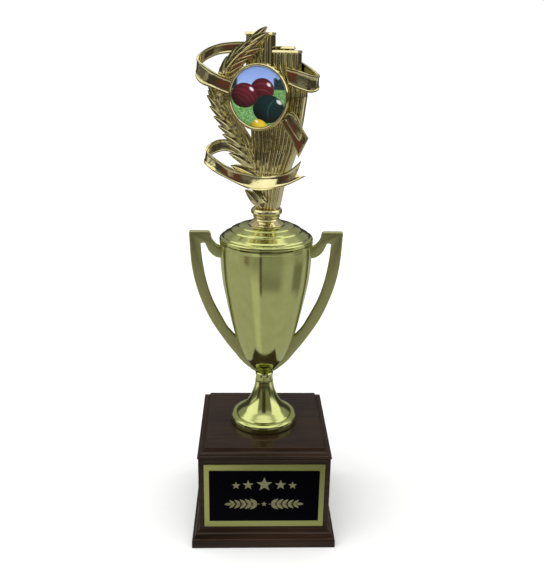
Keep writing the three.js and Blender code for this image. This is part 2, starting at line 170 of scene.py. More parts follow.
def wood_material(name, along_y, light=(0.034, 0.016, 0.008), dark=(0.009, 0.0045, 0.0025)):
    """Lacquered dark wood, its grain along X, or along Y for the side pieces."""
    shader = Shader(name, Coat_Weight=0.4, Coat_Roughness=0.08, Specular_IOR_Level=0.1)

    def grain(along, across):
        return shader.place((across, along, across) if along_y else (along, across, across))

    lines = shader.noise(grain(7, 150), 1.6, 8, 0.62, 0.7)
    pores = shader.noise(grain(60, 1600), 1.0, 2, 0.5)
    broad = shader.noise(grain(9, 26), 1.0, 2, 0.5)
    tone = shader.add(shader.times(lines, 0.7), shader.times(broad, 0.35))
    middle = tuple((a + b) / 2 for a, b in zip(light, dark))
    color = shader.ramp(tone, [(0.38, dark), (0.52, middle), (0.68, light)])
    pits = shader.levels(pores, 0.36, 0.3)
    color = shader.mix(shader.times(pits, 0.5), color, tuple(c * 0.4 for c in dark))
    rough = shader.add(shader.times(lines, 0.25), 0.35)
    height = shader.math("SUBTRACT", lines, pits)
    return shader.wire(Base_Color=color, Roughness=rough, Normal=shader.bump(height, 0.00006, 0.5))


def cup_material():
    """Pale greenish gold plating with fine brush lines round the axis and a faint mottle."""
    shader = Shader("cup_gold", Metallic=1.0)
    lines = shader.noise(shader.place((14, 14, 2600)), 1.0, 3, 0.6)
    mottle = shader.noise(shader.place((90, 90, 90)), 1.0, 4, 0.6)
    color = shader.ramp(mottle, [(0.3, (0.58, 0.62, 0.225)), (0.7, (0.67, 0.70, 0.28))])
    rough = shader.add(shader.times(lines, 0.08), 0.05)
    rough = shader.add(rough, shader.times(mottle, 0.06))
    low = shader.bump(mottle, 0.0003, 0.1)
    return shader.wire(Base_Color=color, Roughness=rough, Normal=shader.bump(lines, 0.00002, 0.3, low))


def handle_material():
    """The handles' plating: duller, with a grain along their flat faces."""
    shader = Shader("handle_gold", Metallic=1.0)
    grain = shader.noise(shader.place((700, 60, 160), (0, 0.35, 0)), 1.0, 4, 0.65)
    color = shader.ramp(grain, [(0.3, (0.60, 0.61, 0.25)), (0.7, (0.70, 0.70, 0.31))])
    rough = shader.add(shader.times(grain, 0.2), 0.24)
    return shader.wire(Base_Color=color, Roughness=rough, Normal=shader.bump(grain, 0.00006, 0.4))


def figure_material():
    """Bright vacuum-plated gold, mirror smooth with a slight waviness from the moulding."""
    shader = Shader("figure_gold", Metallic=1.0)
    wave = shader.noise(shader.place((120, 120, 120)), 1.0, 3, 0.5)
    fine = shader.noise(shader.place((900, 900, 900)), 1.0, 2, 0.5)
    color = shader.ramp(wave, [(0.3, (0.74, 0.65, 0.32)), (0.7, (0.82, 0.75, 0.42))])
    rough = shader.add(shader.times(fine, 0.06), 0.04)
    return shader.wire(Base_Color=color, Roughness=rough, Normal=shader.bump(wave, 0.0008, 0.35))


def plate_gold_material():
    """Satin gold sheet, brushed lengthways."""
    shader = Shader("plate_gold", Metallic=1.0)
    brushed = shader.noise(shader.place(scale=(30, 2500, 2500)), 1.0, 3, 0.6)
    color = shader.ramp(brushed, [(0.25, (0.55, 0.58, 0.19)), (0.75, (0.66, 0.68, 0.25))])
    rough = shader.add(shader.times(brushed, 0.2), 0.26)
    return shader.wire(Base_Color=color, Roughness=rough, Normal=shader.bump(brushed, 0.00003, 0.3))


def plate_black_material():
    """Gloss black coating with a faint orange peel."""
    shader = Shader("plate_black", Specular_IOR_Level=0.03)
    peel = shader.noise(shader.place(scale=(500, 500, 500)), 1.0, 2, 0.5)
    color = shader.ramp(peel, [(0.3, (0.0003, 0.0003, 0.0012)), (0.7, (0.0007, 0.0006, 0.002))])
    rough = shader.add(shader.times(peel, 0.1), 0.25)
    return shader.wire(Base_Color=color, Roughness=rough, Normal=shader.bump(peel, 0.00002, 0.2))


def engraving_material():
    """Bare metal where the black coating is cut away: pale brass with fine tool lines."""
    shader = Shader("engraving", Metallic=0.85)
    tool = shader.noise(shader.place(scale=(2600, 300, 300), rotation=(0, 0.6, 0)), 1.0, 2, 0.6)
    color = shader.ramp(tool, [(0.3, (0.30, 0.29, 0.15)), (0.7, (0.46, 0.44, 0.25))])
    return shader.wire(Base_Color=color, Roughness=shader.add(shader.times(tool, 0.3), 0.3))


def steel_material():
    """Zinc-plated steel for the rod, nuts, washers and screws."""
    shader = Shader("steel", Metallic=1.0)
    mottle = shader.noise(shader.place(scale=(400, 400, 400)), 1.0, 3, 0.6)
    color = shader.ramp(mottle, [(0.3, (0.42, 0.43, 0.45)), (0.7, (0.60, 0.61, 0.62))])
    rough = shader.add(shader.times(mottle, 0.2), 0.22)
    return shader.wire(Base_Color=color, Roughness=rough, Normal=shader.bump(mottle, 0.00004, 0.3))


def bare_wood_material():
    """Unfinished softwood blocks inside the base."""
    shader = Shader("bare_wood")
    grain = shader.noise(shader.place(scale=(300, 300, 12)), 1.0, 6, 0.6, 0.5)
    color = shader.ramp(grain, [(0.3, (0.30, 0.17, 0.08)), (0.7, (0.50, 0.33, 0.17))])
    return shader.wire(Base_Color=color, Roughness=0.75, Normal=shader.bump(grain, 0.0001, 0.5))


def picture_material():
    """The printed insert: a lawn under a blue sky with two maroon balls, a green and a yellow one."""
    shader = Shader("picture", Roughness=0.35, Coat_Weight=0.35, Coat_Roughness=0.06)
    centre = figure_point((HOLDER["x"], HOLDER["back"] - HOLDER["depth"], HOLDER["z"])) * MM
    flat = shader.place((INSERT_R * MM,) * 3, (0, 0, FIGURE_TURN), tuple(centre), kind="TEXTURE")
    x, _, z = shader.split(flat)
    wobble = shader.noise(flat, 5.0, 4, 0.6)
    blades = shader.noise(flat, 16.0, 5, 0.7)
    sky = [(0.55, (0.42, 0.56, 0.88)), (0.8, (0.27, 0.40, 0.80)), (1.0, (0.22, 0.34, 0.74))]
    color = shader.ramp(shader.add(shader.times(z, 0.5), 0.5), sky)
    # trees at both sides, with a ragged top
    side = shader.add(shader.math("ABSOLUTE", shader.add(x, 0.1)), shader.times(wobble, 0.1))
    crown = shader.add(shader.add(z, -0.78), shader.times(wobble, 0.3))
    trees = shader.times(shader.levels(side, 0.68, 0.76), shader.levels(crown, 0.03, -0.03))
    leaves = shader.ramp(blades, [(0.4, (0.003, 0.014, 0.03)), (0.65, (0.012, 0.06, 0.06))])
    color = shader.mix(trees, color, leaves)
    edge = shader.add(shader.add(z, -0.28), shader.times(blades, 0.08))
    grass = [(0.32, (0.04, 0.15, 0.035)), (0.5, (0.13, 0.34, 0.09)), (0.68, (0.36, 0.60, 0.26))]
    color = shader.mix(shader.levels(edge, 0.05, 0.0), color, shader.ramp(blades, grass))

    def ball(color, centre, size, body, groove, lines, tilt, glint):
        """Paints one ball over the picture: shaded by its height, with curved grooves and a highlight."""
        dx = shader.math("DIVIDE", shader.add(x, -centre[0]), size[0])
        dz = shader.math("DIVIDE", shader.add(z, -centre[1]), size[1])
        reach = shader.add(shader.times(dx, dx), shader.times(dz, dz))
        up = shader.add(shader.times(dx, 0.30), shader.times(dz, 0.38))
        light = shader.math("ADD", up, 0.62, clamp=True)
        light = shader.times(light, shader.math("SUBTRACT", 1.15, shader.times(reach, 0.55)))
        along = shader.add(shader.times(dx, math.cos(tilt)), shader.times(dz, math.sin(tilt)))
        across = shader.add(shader.times(dz, math.cos(tilt)), shader.times(dx, -math.sin(tilt)))
        bent = shader.add(across, shader.times(shader.times(along, along), 0.42))
        wave = shader.math("ABSOLUTE", shader.math("SINE", shader.times(bent, lines)))
        skin = shader.mix(shader.levels(wave, 0.18, 0.04), body, groove)
        skin = shader.mix(1.0, skin, light, "MULTIPLY")
        gx, gz = shader.add(dx, -glint[0]), shader.add(dz, -glint[1])
        leaning = shader.add(gx, gz)
        spot = shader.add(shader.times(gx, gx), shader.times(gz, gz))
        spot = shader.add(spot, shader.times(leaning, leaning))
        glow = shader.levels(spot, 0.07, 0.004)
        skin = shader.mix(shader.times(glow, 0.85), skin, (0.92, 0.84, 0.90))
        return shader.mix(shader.levels(reach, 1.04, 0.96), color, skin)

    maroon, seam = (0.13, 0.006, 0.015), (0.30, 0.06, 0.08)
    color = ball(color, (0.16, 0.25), (0.43, 0.38), maroon, seam, 6.0, -0.1, (0.56, 0.45))
    color = ball(color, (-0.50, 0.05), (0.49, 0.41), maroon, seam, 8.5, -0.55, (0.55, 0.52))
    green, green_seam = (0.002, 0.030, 0.028), (0.012, 0.09, 0.07)
    color = ball(color, (0.39, -0.37), (0.57, 0.46), green, green_seam, 3.4, 1.35, (0.68, 0.52))
    yellow, yellow_seam = (0.90, 0.64, 0.01), (0.95, 0.74, 0.1)
    color = ball(color, (0.03, -1.02), (0.33, 0.30), yellow, yellow_seam, 1.0, 0.3, (-0.2, 0.75))
    dots = shader.noise(flat, 120.0, 1, 0.5)
    return shader.wire(Base_Color=color, Normal=shader.bump(dots, 0.00001, 0.2))


# ---------------------------------------------------------------- geometry
def figure_point(point):
    """A point of the figure's own frame, in the object's frame."""
    x, y, z = point
    c, s = math.cos(FIGURE_TURN), math.sin(FIGURE_TURN)
    return Vector((x * c - y * s, x * s + y * c, z))


def smooth(points, steps=8):
    """A Catmull-Rom curve through points of any dimension, with steps pieces between neighbours."""
    p = np.array(points, float)
    p = np.vstack([2 * p[0] - p[1], p, 2 * p[-1] - p[-2]])
    out = []
    for i in range(1, len(p) - 2):
        for t in np.linspace(0, 1, steps, endpoint=False):
            a = 2 * p[i]
            b = p[i + 1] - p[i - 1]
            c = 2 * p[i - 1] - 5 * p[i] + 4 * p[i + 1] - p[i + 2]
            d = -p[i - 1] + 3 * p[i] - 3 * p[i + 1] + p[i + 2]
            out.append((a + b * t + c * t * t + d * t**3) / 2)
    out.append(p[-2])
    return [tuple(q) for q in out]


def fillet(points, radius, steps=4, closed=False):
    """Rounds the corners of a 2-D polyline; radius is one number, or one per point."""
    p = [np.array(q, float) for q in points]
    radii = radius if isinstance(radius, (list, tuple)) else [radius] * len(p)
    out = []
    for i, q in enumerate(p):
        if not closed and i in (0, len(p) - 1) or radii[i] <= 0:
            out.append(tuple(q))
            continue
        a, b = p[i - 1] - q, p[(i + 1) % len(p)] - q
        la, lb = np.linalg.norm(a), np.linalg.norm(b)
        cosine = np.clip(a @ b / (la * lb), -1, 1)
        if cosine < -0.9995:
            out.append(tuple(q))
            continue
        reach = min(radii[i] / math.tan(math.acos(cosine) / 2), 0.45 * la, 0.45 * lb)
        start, end = q + a / la * reach, q + b / lb * reach
        for t in np.linspace(0, 1, steps + 1):
            out.append(tuple((1 - t) ** 2 * start + 2 * t * (1 - t) * q + t * t * end))
    return out


def arc(centre, r, start, end, steps=8):
    """Points along a circular arc between two angles in degrees."""
    return [
        (centre[0] + r * math.cos(math.radians(a)), centre[1] + r * math.sin(math.radians(a)))
        for a in np.linspace(start, end, steps + 1)
    ]


def merged(parts):
    """Several (points, faces) meshes as one."""
    points, faces = [], []
    for some_points, some_faces in parts:
        base = len(points)
        points.extend(some_points)
        faces.extend(tuple(i + base for i in f) for f in some_faces)
    return points, faces


def loft(rings, caps=True):
    """A closed skin through rings of 3-D points."""
    count = len(rings[0])
    points = [tuple(p) for ring in rings for p in ring]
    faces = []
    for i in range(len(rings) - 1):
        for j in range(count):
            k = (j + 1) % count
            faces.append((i * count + j, i * count + k, (i + 1) * count + k, (i + 1) * count + j))
    if caps:
        faces.append(tuple(range(count)))
        faces.append(tuple(range((len(rings) - 1) * count, len(rings) * count)))
    return points, faces


def turned(profile, segments=160):
    """A turned solid about Z from (radius, z) points, which end on the axis or close on themselves."""
    points, faces, rows = [], [], []
    for r, z in profile:
        if r < 1e-6:
            rows.append([len(points)] * segments)
            points.append((0.0, 0.0, z))
            continue
        rows.append(list(range(len(points), len(points) + segments)))
        for j in range(segments):
            a = 2 * math.pi * j / segments
            points.append((r * math.cos(a), r * math.sin(a), z))
    on_axis = profile[0][0] < 1e-6 and profile[-1][0] < 1e-6
    pairs = list(zip(rows, rows[1:])) + ([] if on_axis else [(rows[-1], rows[0])])
    for low, high in pairs:
        for j in range(segments):
            k = (j + 1) % segments
            corners = dict.fromkeys((low[j], low[k], high[k], high[j]))
            if len(corners) > 2:
                faces.append(tuple(corners))
    return points, faces


def facing(profile, segments=128):
    """A turned solid whose axis runs forwards through the insert's middle, from (radius, depth) points."""
    points, faces = turned(profile, segments)
    return [(x + HOLDER["x"], HOLDER["back"] - depth, z + HOLDER["z"]) for x, z, depth in points], faces


def offset(profile, by):
    """A profile moved to the left of its direction."""
    p = np.array(profile, float)
    d = np.gradient(p, axis=0)
    d /= np.linalg.norm(d, axis=1)[:, None]
    return [tuple(q) for q in p + by * np.stack([-d[:, 1], d[:, 0]], 1)]


def quarter_turn(mesh, quarters):
    """A mesh turned about Z by a number of right angles."""
    points, faces = mesh
    c, s = [(1, 0), (0, 1), (-1, 0), (0, -1)][quarters]
    return [(x * c - y * s, x * s + y * c, z) for x, y, z in points], faces


def mirrored(mesh):
    """The same mesh on the other side, in X."""
    points, faces = mesh
    return [(-x, y, z) for x, y, z in points], [f[::-1] for f in faces]


def mitred(profile, seam=0.04):
    """One length of moulding on the front side, with 45 degree ends, from (half width, z) points."""
    ends = [[(side * (half - seam), -half, z) for half, z in profile] for side in (-1, 1)]
    return loft(ends)


def slab(outline, front, back, bevel, rings=4):
    """A flat closed outline in the XZ plane between two depths, its edges rounded by bevel."""
    p = np.array(outline, float)
    ahead, behind = np.roll(p, -1, 0) - p, p - np.roll(p, 1, 0)
    ahead /= np.linalg.norm(ahead, axis=1)[:, None]
    behind /= np.linalg.norm(behind, axis=1)[:, None]
    normal = np.stack([-(ahead + behind)[:, 1], (ahead + behind)[:, 0]], 1)
    normal /= np.maximum(np.linalg.norm(normal, axis=1), 1e-9)[:, None]
    area = np.sum(p[:, 0] * np.roll(p[:, 1], -1) - np.roll(p[:, 0], -1) * p[:, 1])
    inwards = normal * (1 if area > 0 else -1)
    levels = []
    for a in np.linspace(0, math.pi / 2, rings + 1):
        levels.append((front + bevel * (1 - math.sin(a)), bevel * (1 - math.cos(a))))
    levels = levels[::-1] + [(back - (y - front), inset) for y, inset in levels]
    return loft([[(x, y, z) for x, z in p + inwards * inset] for y, inset in levels])


def ribbon(upper, lower, thickness, steps=14, rim=0.6, notch=0.0, apex=0.7):
    """A ribbon between two edge curves, with raised rims and, if notch isn't 0, a swallowtail end."""
    top, bottom = np.array(smooth(upper, steps)), np.array(smooth(lower, steps))
    count = len(top)
    # Place across the ribbon and thickness there, from one edge to the middle
    across = [(0.0, 0.3), (0.008, 0.9), (0.03, 1.0 + rim), (0.1, 1.0 + rim)]
    across += [(0.135, 0.95), (0.16, 0.75), (0.3, 0.7), (0.5, 0.7)]
    across += [(1 - s, h) for s, h in across[-2::-1]]
    along = np.gradient((top + bottom) / 2, axis=0)
    out = np.cross(along, top - bottom)
    out /= np.linalg.norm(out, axis=1)[:, None]
    grid = np.arange(count)

    def at(curve, where):
        return np.array([np.interp(where, grid, curve[:, k]) for k in range(3)])

    rings = []
    for i in range(count):
        late = max(0.0, (i / (count - 1) - 0.7) / 0.3)  # the notch is cut into the last 30 percent
        ring = []
        for sign, order in ((1, across), (-1, across[::-1])):
            for s, h in order:
                dip = s / apex if s < apex else (1 - s) / (1 - apex)
                where = i * (1 - notch * dip * late)
                edge = at(top, where) * (1 - s) + at(bottom, where) * s
                ring.append(tuple(edge + sign * at(out, where) * h * thickness / 2))
        rings.append(ring)
    return loft(rings)


# Across a leaf from one edge to its middle: place and height, flat but for a narrow ridge and a rolled edge
HALF_LEAF = [(-1, 0), (-0.94, 0.36), (-0.84, 0.54), (-0.5, 0.6), (-0.17, 0.66), (-0.08, 0.92)]
LEAF_SECTION = HALF_LEAF + [(0, 1)] + [(-u, height) for u, height in reversed(HALF_LEAF)]


def leaf(base, angle, length, width, thick, bend, lift, depth):
    """A pointed leaf in the XZ plane facing forwards: a ridge along its middle, and a rolled edge."""
    rows, columns = 15, len(LEAF_SECTION)
    front, back = [], []
    x, z, heading = base[0], base[2], angle
    for i in range(rows):
        v = i / (rows - 1)
        half = max(width / 2 * math.sin(math.pi * (0.04 + 0.94 * v) ** 0.85) ** 0.8, 0.15)
        fade = min(1.0, 1.5 * (1 - v) + 0.12) * min(1.0, 0.3 + 3 * v)
        y = base[1] - lift * v
        side_x, side_z = -math.sin(heading), math.cos(heading)
        for u, crown in LEAF_SECTION:
            px, pz = x + side_x * u * half, z + side_z * u * half
            front.append((px, y - thick * crown * fade, pz))
            back.append((px, y + depth, pz))
        heading += bend / (rows - 1)
        x += math.cos(heading) * length / (rows - 1)
        z += math.sin(heading) * length / (rows - 1)
    points = front + back
    total = rows * columns
    faces = []
    for i in range(rows - 1):
        for j in range(columns - 1):
            a = i * columns + j
            faces.append((a, a + 1, a + columns + 1, a + columns))
            faces.append((total + a, total + a + columns, total + a + columns + 1, total + a + 1))
    border = list(range(columns))
    border += [i * columns + columns - 1 for i in range(1, rows)]
    border += [(rows - 1) * columns + j for j in range(columns - 2, -1, -1)]
    border += [i * columns for i in range(rows - 2, 0, -1)]
    for a, b in zip(border, border[1:] + border[:1]):
        faces.append((a, total + a, total + b, b))
    return points, faces


def strip(path, width, front, back, bevel=0.25):
    """A flat raised band along a path in the XZ plane."""
    p = np.array(path, float)
    ahead = np.gradient(p, axis=0)
    ahead /= np.linalg.norm(ahead, axis=1)[:, None]
    side = np.stack([-ahead[:, 1], ahead[:, 0]], 1) * width / 2
    outline = [tuple(q) for q in p + side] + [tuple(q) for q in (p - side)[::-1]]
    return slab(outline, front, back, bevel, 2)


def tube(path, radius, sides=10, taper=1.0):
    """A round stem along a smooth path, thinning to taper times its radius."""
    curve = np.array(smooth(path, 8))
    along = np.gradient(curve, axis=0)
    along /= np.linalg.norm(along, axis=1)[:, None]
    rings = []
    for i, (p, d) in enumerate(zip(curve, along)):
        side = np.cross(d, (0.0, 1.0, 0.0))
        side /= np.linalg.norm(side)
        other = np.cross(side, d)
        r = radius * (1 + (taper - 1) * i / (len(curve) - 1))
        turns = np.linspace(0, 2 * math.pi, sides, endpoint=False)
        rings.append([tuple(p + r * (math.cos(a) * side + math.sin(a) * other)) for a in turns])
    return loft(rings)


def piece(name, mesh, material, replaces=(), angle=32, in_figure=False):
    """A finished mesh piece that rides on the trophy and stands for the CAD nodes it replaces."""
    points, faces = mesh
    if in_figure:
        points = [figure_point(p) for p in points]
    data = bpy.data.meshes.new(name)
    data.from_pydata([tuple(c * MM for c in p) for p in points], [], faces)
    work = bmesh.new()
    work.from_mesh(data)
    bmesh.ops.remove_doubles(work, verts=work.verts, dist=1e-6)
    bmesh.ops.recalc_face_normals(work, faces=work.faces)
    work.to_mesh(data)
    work.free()
    data.polygons.foreach_set("use_smooth", [True] * len(data.polygons))
    data.set_sharp_from_angle(angle=math.radians(angle))
    data.materials.append(material)
    obj = bpy.data.objects.new(name, data)
    bpy.context.scene.collection.objects.link(obj)
    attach(obj, "root")
    if replaces:
        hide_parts(*replaces)
    return obj


# ---------------------------------------------------------------- wooden base
SIDES = ("front", "right", "back", "left")
WOOD = [wood_material("wood_along_x", False), wood_material("wood_along_y", True)]
PLINTH_PROFILE = [
    (48, 0),
    *fillet([(PLINTH_HALF - 1, 0), (PLINTH_HALF, 0), (PLINTH_HALF, 2)], 0.5),
    *arc((PLINTH_HALF - 2, PLINTH_EDGE - 2), 2, 0, 90),
    *arc((PLINTH_HALF - 0.4, PLINTH_TOP - 0.4), 6.6, 240, 180, 12),
    (BODY_HALF, PLINTH_TOP),
    (48, PLINTH_TOP),
]
BOARD_PROFILE = [
    (0, BOARD_BOTTOM),
    (BODY_HALF - 0.4, BOARD_BOTTOM),
    *arc((BEAD_HALF - 1.6, BOARD_BOTTOM + 1.9), 1.6, -75, 90, 10),
    (BODY_HALF - 1.6, BOARD_BOTTOM + 3.7),
    *arc((BODY_HALF - 1.2, BASE_TOP + 0.1), 4.7, 262, 196, 10),
    *fillet([(FIELD_HALF, BASE_TOP - 1.2), (FIELD_HALF, BASE_TOP), (FIELD_HALF - 2, BASE_TOP)], 0.5),
    (0, BASE_TOP),
]


def square_turned(profile):
    """The same moulding on four sides."""
    points, faces = turned([(half * math.sqrt(2), z) for half, z in profile], 4)
    c = s = math.sqrt(0.5)
    return [(x * c - y * s, x * s + y * c, z) for x, y, z in points], faces


def wall():
    """A wall board on the front side, mitred, with its outer corners eased."""
    inner, ease = BODY_HALF - WALL, 0.5
    plan = [(-inner, -inner), (inner, -inner), (BODY_HALF - ease * 0.42, -BODY_HALF + ease * 0.42)]
    plan += [(BODY_HALF - ease, -BODY_HALF + 0.06), (BODY_HALF - 2 * ease, -BODY_HALF)]
    plan += [(-x, y) for x, y in plan[:1:-1]]
    return loft([[(x, y, z) for x, y in plan] for z in (PLINTH_TOP, BOARD_BOTTOM)])


def build_base():
    for i, side in enumerate(SIDES):
        wood = WOOD[i % 2]
        moulding = quarter_turn(mitred(PLINTH_PROFILE), i)
        piece(f"base_plinth_{side}", moulding, wood, [f"plinth_{side}"])
        piece(f"base_wall_{side}", quarter_turn(wall(), i), wood, [f"wall_{side}"])
    piece("base_top_board", square_turned(BOARD_PROFILE), WOOD[0], ["top_board"], angle=25)


# ---------------------------------------------------------------- plates
PLATE_BACK = {"width": 115.0, "height": 69.5, "thickness": 0.8}
PLATE_FRONT = {"width": 105.3, "height": 55.8, "thickness": 0.8}
PLATE_MIDDLE = 55.5
ENGRAVED = 0.06  # how far the ornament stands proud
STAR_WAIST = 0.42  # a star's inner radius as a part of its outer one
LEAF_LEAN = 0.72  # a sprig's leaves from its stem, in radians


def plate(size, back):
    """A sheet with rounded corners whose back lies at a depth."""
    w, h = size["width"] / 2, size["height"] / 2
    corners = [(-w, -h), (w, -h), (w, h), (-w, h)]
    outline = [(x, z + PLATE_MIDDLE) for x, z in fillet(corners, 0.6, 3, closed=True)]
    return slab(outline, back - size["thickness"], back, 0.2, 2)


def engraved(outline, front):
    """A thin flat mark on the plate's face."""
    return slab(outline, front - ENGRAVED, front, 0.02, 1)


def star(x, z, r, front):
    """A flat five-pointed star."""
    outline = []
    for i in range(10):
        turn = math.pi / 2 + i * math.pi / 5
        reach = r if i % 2 == 0 else r * STAR_WAIST
        outline.append((x + reach * math.cos(turn), z + reach * math.sin(turn)))
    return engraved(outline, front)


def flat_leaf(x, z, angle, length, width, front):
    """A flat engraved leaf."""
    c, s = math.cos(angle), math.sin(angle)
    side = [(t * length, width / 2 * math.sin(math.pi * t**0.8)) for t in np.linspace(0, 1, 9)]
    loop = side + [(a, -b) for a, b in side[-2:0:-1]]
    return engraved([(x + a * c - b * s, z + a * s + b * c) for a, b in loop], front)


def sprig(x, z, sense, count, pitch, size, front):
    """A sprig of laurel along X: a thin stem with a leaf pair at each step."""
    end = x + sense * (count * pitch + size * 0.8) * 0.9
    stem = [(x, z - 0.35), (end, z - 0.15), (end, z + 0.15), (x, z + 0.35)]
    parts = [engraved(stem, front)]
    for i in range(count):
        at = x + sense * (i + 0.4) * pitch
        shrink = 1 - 0.3 * i / count
        for lean in (-LEAF_LEAN, LEAF_LEAN):
            angle = lean if sense > 0 else math.pi - lean
            parts.append(flat_leaf(at, z, angle, size * shrink, size * 0.4 * shrink, front))
    tip = x + sense * (count * pitch - 0.5)
    parts.append(flat_leaf(tip, z, 0 if sense > 0 else math.pi, size * 0.8, size * 0.34, front))
    return parts


def build_plates():
    back = -BODY_HALF
    front = back - PLATE_BACK["thickness"]
    gold, black = plate(PLATE_BACK, back), plate(PLATE_FRONT, front)
    piece("plate_backing_gold", gold, plate_gold_material(), ["plate_backing"])
    piece("plate_engraved_black", black, plate_black_material(), ["engraved_plate"])
    face = front - PLATE_FRONT["thickness"]
    parts = [star(0, 69, 8, face)]
    for sense in (-1, 1):
        parts += [star(sense * 15.5, 68.4, 5.6, face), star(sense * 27, 67.8, 4.4, face)]
        parts += sprig(sense * 4.5, 47, sense, 5, 5.4, 9.2, face)
    parts.append(star(0, 47, 3, face))
    piece("plate_ornament", merged(parts), engraving_material())


# ---------------------------------------------------------------- foot, cup and lid
def shell(outer, thickness=SHEET):
    """Spun sheet: the outer profile and its inside."""
    return outer + offset(outer, thickness)[::-1]


# Turned profiles as (radius, z), each from its foot up
FOOT_RIM = [
    (32.4, BASE_TOP), (33.2, BASE_TOP + 1), (33.2, 109), (32.6, 111.2),
    (30.6, 112.7), (28.5, 112.9), (27.6, 112.2),
]
FOOT_BELL = [
    (27.2, 113.4), (23.9, 116.4), (19.8, 120.4), (16.4, 125.2),
    (13.5, 130.6), (11.1, 136.6), (9.6, 142.4), (8.7, FOOT_TOP),
]
FOOT_PROFILE = fillet(FOOT_RIM, 1.6, 5) + smooth(FOOT_BELL, 6)
COLLAR_SIDE = [
    (8.0, FOOT_TOP), (8.9, FOOT_TOP + 0.7), (8.5, FOOT_TOP + 2),
    (8.4, FOOT_TOP + 6), (8.9, CUP_BOTTOM - 1), (8.1, CUP_BOTTOM + 0.2),
]
COLLAR_PROFILE = [(3.6, FOOT_TOP), *fillet(COLLAR_SIDE, 0.8, 4), (3.6, CUP_BOTTOM)]
CUP_WALL = [
    (9.2, 160.4), (14.2, 165.8), (19.4, 173.4), (24.2, 184), (28.2, 195.4), (32.5, 211.9),
    (37, 232.6), (40.8, 252.9), (42.7, 272.7), (43.1, 287.4),
]
CUP_PROFILE = [
    *fillet([(3.6, CUP_BOTTOM), (6.2, CUP_BOTTOM), (7.4, 158.6)], 0.6),
    *smooth(CUP_WALL, 8),
    *fillet([(43.1, 288.4), (43.4, 289.4), (43.6, 291), (43.4, CUP_RIM), (42.8, CUP_RIM + 0.3)], 0.6, 4),
]
LID_STEPS = [
    (43.0, CUP_RIM + 0.1), (43.6, 293.6), (43.5, 295), (42.6, 296.1), (40.9, 296.5),
    (40.4, 297.7), (39, 298.9), (33.4, 301.9), (32.8, 303), (31.4, 303.9),
    (26.4, 305.6), (25.8, 306.5), (24.3, 307.1), (18.4, LID_TOP + 0.1), (3.6, LID_TOP),
]
LID_PROFILE = fillet(LID_STEPS, 0.9, 4)
HANDLE_OUTER = [
    (8.4, 158.0), (13.2, 161.2), (22.3, 169.3), (29.1, 178), (38.7, 190.9),
    (51.9, 211.9), (61, 232.6), (67.1, 252.9), (70.2, 272.7), (71.5, 297),
]
HANDLE_INNER = [
    (61.1, 286), (59.9, 272.7), (56.6, 252.9), (50.5, 232.6), (40.3, 211.9), (35.6, 203.6), (29.2, 196.2),
]


def cup_radius(z):
    """The cup wall's outer radius at a height."""
    wall_points = np.array(smooth(CUP_WALL, 8))
    return float(np.interp(z, wall_points[:, 1], wall_points[:, 0]))


def handle_outline():
    """The right handle in the XZ plane: outer edge, top bar, hooked arm, inner edge, and down the cup."""
    outer = smooth(HANDLE_OUTER, 5)
    corner = fillet([(71.5, 297), (71.6, HANDLE_TOP), (64, HANDLE_TOP)], 2.6, 6)
    hook = [(54.0, HANDLE_TOP), (52.9, HANDLE_TOP - 0.4), (52.3, HANDLE_TOP - 1.4)]
    hook += smooth([(51.8, 298), (50.4, 292.6), (46.4, 287.8), (40.6, 285.4)], 5)
    arm = smooth([(41.2, 275.4), (45, 275.4), (49.4, 277.6), (53.4, 281.8), (56, 287.4)], 5)
    notch = fillet([(56, 287.4), (57, 289.6), (59.4, 289.6), (61.2, 288.4)], 1.2, 4)
    inner = smooth(HANDLE_INNER, 5)
    wall_side = [(cup_radius(z) - 0.9, z) for z in np.linspace(195, 161, 16)]
    return outer[:-1] + corner + hook + arm[:-1] + notch + inner + wall_side


def build_cup():
    gold, bar = cup_material(), handle_material()
    piece("foot", turned(shell(FOOT_PROFILE)), gold, ["cup_foot"])
    piece("collar", turned(COLLAR_PROFILE), gold, ["stem_collar"])
    piece("cup_bowl", turned(shell(CUP_PROFILE), 192), gold, ["cup"])
    piece("cup_lid", turned(shell(LID_PROFILE), 192), gold, ["lid"])
    right = slab(handle_outline(), -HANDLE_THICK / 2, HANDLE_THICK / 2, 0.8)
    piece("handle_bar_right", right, bar, ["handle_right"])
    piece("handle_bar_left", mirrored(right), bar, ["handle_left"])


# ---------------------------------------------------------------- figure
FIGURE_COLLAR = [
    (11.2, 316.7), (11.2, 317.2), (13.6, 317.6), (14.4, 319), (14.4, 321), (13.4, 322.6), (11.5, COLLAR_TOP),
]
FIGURE_BASE = [
    (0, 318), (6.9, 318), (6.9, 307.6),
    *fillet([(16.9, 307.4), (17.4, 307.6), (17.2, 308.6), (14.4, 310.4), (12, 312.4), (10.9, 313.9)], 0.5, 3),
    *arc((11.3, 315.2), 1.1, -80, 80, 8),
    *fillet(FIGURE_COLLAR, 0.7, 4),
    (0, COLLAR_TOP),
]
# Height, then left, right, front and back of the reeded body there
BODY_LEVELS = [
    (322.6, -10.0, 12.2, -8.6, 8.6),
    (332, -10.5, 14.0, -9.4, 9.0),
    (345, -11.0, 16.8, -10.2, 8.5),
    (356, -11.6, 21.0, -10.3, 7.0),
    (376, -12.4, 28.6, -9.9, 4.5),
    (403, -14.5, 34.6, -9.8, 2.0),
    (424, -17.0, 37.4, -9.8, 2.0),
    (434, -18.0, 37.0, -8.0, 2.0),
    (441, -18.5, 35.0, -5.0, 2.0),
]


def level(z):
    """The reeded body's left, right, front and back at a height."""
    table = np.array(BODY_LEVELS)
    return [float(np.interp(z, table[:, 0], table[:, k])) for k in range(1, 5)]


